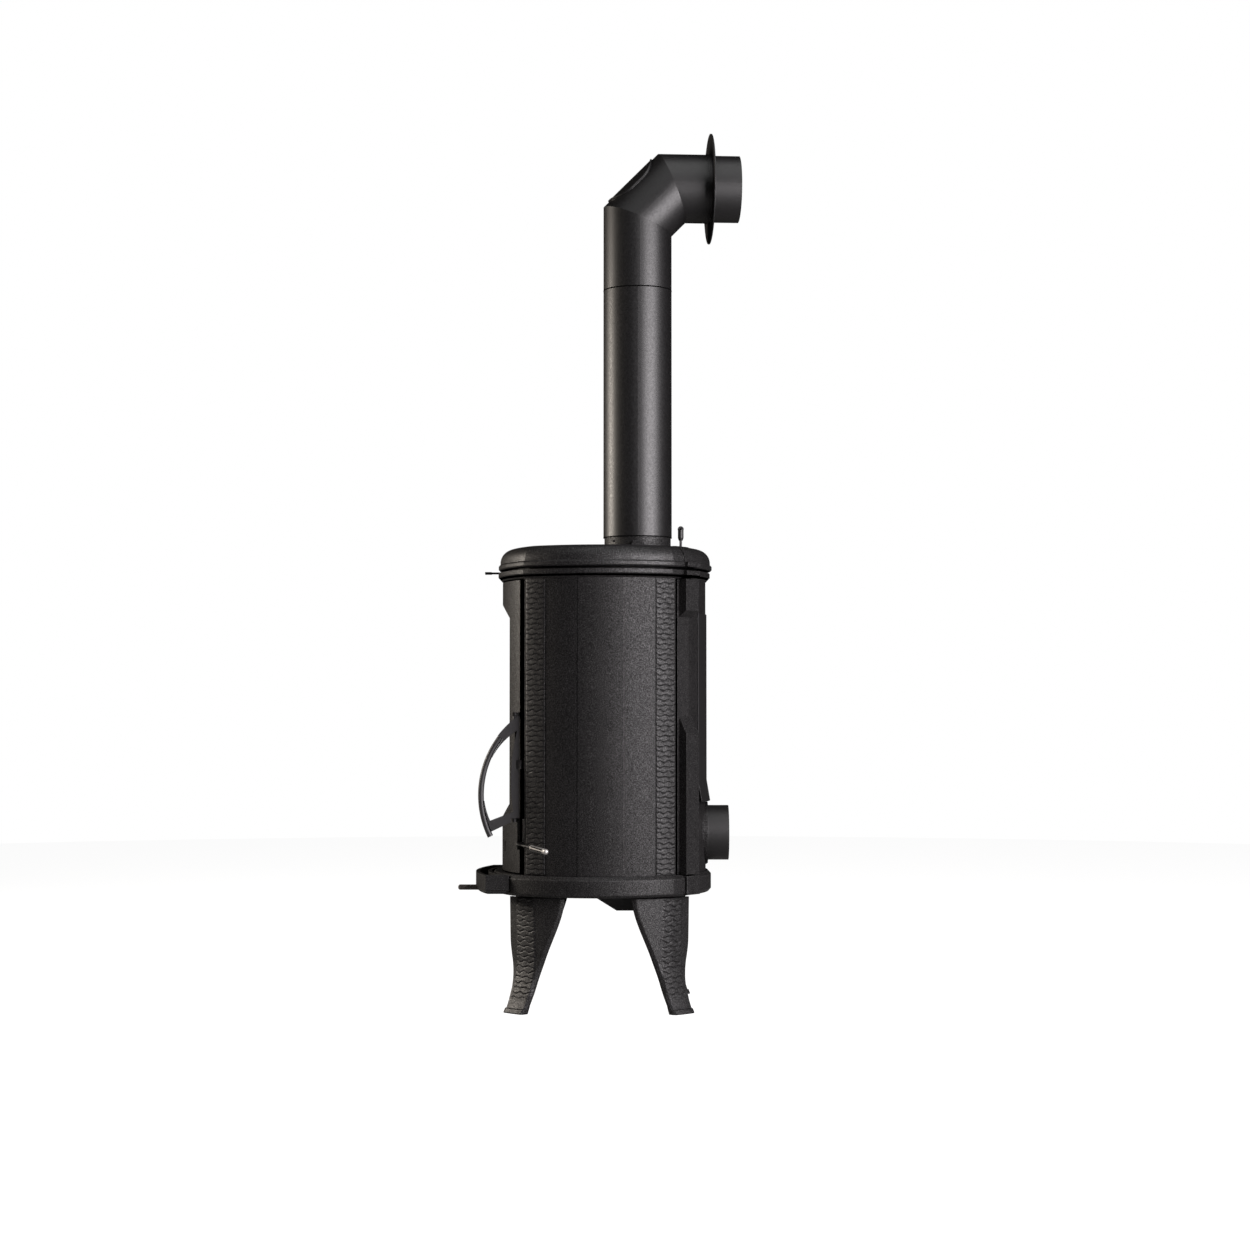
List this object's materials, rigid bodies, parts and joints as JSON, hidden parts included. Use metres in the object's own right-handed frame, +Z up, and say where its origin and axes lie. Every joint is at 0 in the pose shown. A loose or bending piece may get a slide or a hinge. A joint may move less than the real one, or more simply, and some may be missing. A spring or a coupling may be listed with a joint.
{
  "type": "wood stove with flue pipe",
  "caption": "Cast-iron wood stove of oval plan on splayed legs, with a bowed glass door, an ash lip, a bow handle, and a flue pipe that ends in a mitred elbow and a wall plate.",
  "frame": {"origin": "on the floor, at the middle of the whole part's bounding box", "axes": "+Z up, the door faces -Y, the door handle's side is +X, and the flue ends towards +Y"},
  "size_m": [0.524, 0.646, 2.0055],
  "materials": {
    "cast_iron": "satin heat-proof paint on a fine sand-cast surface",
    "fire_iron": "bare, dulled by heat",
    "painted_steel": "satin heat-proof paint",
    "painted_handle": "satin heat-proof paint",
    "bright_steel": "ground",
    "firebrick": "matte",
    "glass": "clear, tinted warm",
    "rope": "woven glass fibre"
  },
  "bodies": {
    "stove": {"base_plate": "cast_iron", "ash_lip": "cast_iron", "leg_front_right": "cast_iron", "leg_front_left": "cast_iron", "leg_rear_right": "cast_iron", "leg_rear_left": "cast_iron", "leg_bolts": "bright_steel", "air_box": "painted_steel", "side_panel_right": "cast_iron", "side_panel_left": "cast_iron", "front_frame": "cast_iron", "rear_panel": "cast_iron", "rear_heat_shield": "painted_steel", "air_inlet": "painted_steel", "top_ring": "cast_iron", "top_plate": "cast_iron", "tie_rods": "bright_steel", "tie_rod_nuts": "bright_steel", "liner_right": "firebrick", "liner_left": "firebrick", "liner_rear": "firebrick", "baffle": "firebrick", "grate_frame": "fire_iron", "fire_grate": "fire_iron", "ash_pan": "painted_steel", "log_guard": "fire_iron", "hinge_pins": "bright_steel", "door_catch": "fire_iron", "flue_collar": "cast_iron", "collar_bolts": "bright_steel", "flue_pipe": "painted_steel"},
    "door": {"door": "cast_iron", "door_glass": "glass", "glass_gasket": "rope", "glass_clips": "bright_steel", "door_rope_seal": "rope", "handle_pins": "bright_steel"},
    "handle": {"door_handle": "painted_handle"},
    "air_lever": {"air_shutter": "painted_steel", "lever_grip": "bright_steel"},
    "bottom_damper": {"air_damper": "fire_iron"},
    "airwash": {"airwash_slide": "painted_steel"},
    "damper_disc": {"flue_damper": "fire_iron"},
    "damper_lifter": {"damper_pull": "bright_steel", "pull_knob": "painted_steel"},
    "elbow": {"flue_elbow": "painted_steel"},
    "hatch": {"hatch_cover": "painted_steel"},
    "rosette": {"wall_rosette": "painted_steel"}
  },
  "joints": [
    {"name": "door_hinge", "type": "hinge", "parent": "stove", "child": "door", "pos_m": [-0.183, -0.184, 0.63], "axis": [0, 0, -1], "range_deg": [0, 110]},
    {"name": "handle_turn", "type": "hinge", "parent": "door", "child": "handle", "pos_m": [0.166, -0.192, 0.54], "axis": [0, 0, 1], "range_deg": [0, 30]},
    {"name": "air_lever_lift", "type": "slide", "parent": "door", "child": "air_lever", "axis": [0, 0, 1], "range_m": [0, 0.035]},
    {"name": "bottom_damper_slide", "type": "slide", "parent": "stove", "child": "bottom_damper", "axis": [0, -1, 0], "range_m": [0, 0.035]},
    {"name": "airwash_slide_joint", "type": "slide", "parent": "stove", "child": "airwash", "axis": [-1, 0, 0], "range_m": [0, 0.012]},
    {"name": "damper_pull_lift", "type": "slide", "parent": "stove", "child": "damper_lifter", "axis": [0, 0, 1], "range_m": [0, 0.025]},
    {"name": "flue_damper_turn", "type": "hinge", "parent": "stove", "child": "damper_disc", "pos_m": [0, 0.158, 1.015], "axis": [1, 0, 0], "range_deg": [0, 45.01]},
    {"name": "elbow_swivel", "type": "hinge", "parent": "stove", "child": "elbow", "pos_m": [0, 0.083, 1.7], "axis": [0, 0, 1], "range_deg": [-90, 90]},
    {"name": "rosette_slide", "type": "slide", "parent": "elbow", "child": "rosette", "axis": [-0.0698, 0.9976, 0], "range_m": [0, 0.06]},
    {"name": "hatch_lift", "type": "slide", "parent": "elbow", "child": "hatch", "axis": [0.0493, -0.7054, 0.7071], "range_m": [0, 0.03]}
  ],
  "couplings": [
    {"joint": "flue_damper_turn", "follows": "damper_pull_lift", "rad_per_m": 31.41}
  ]
}
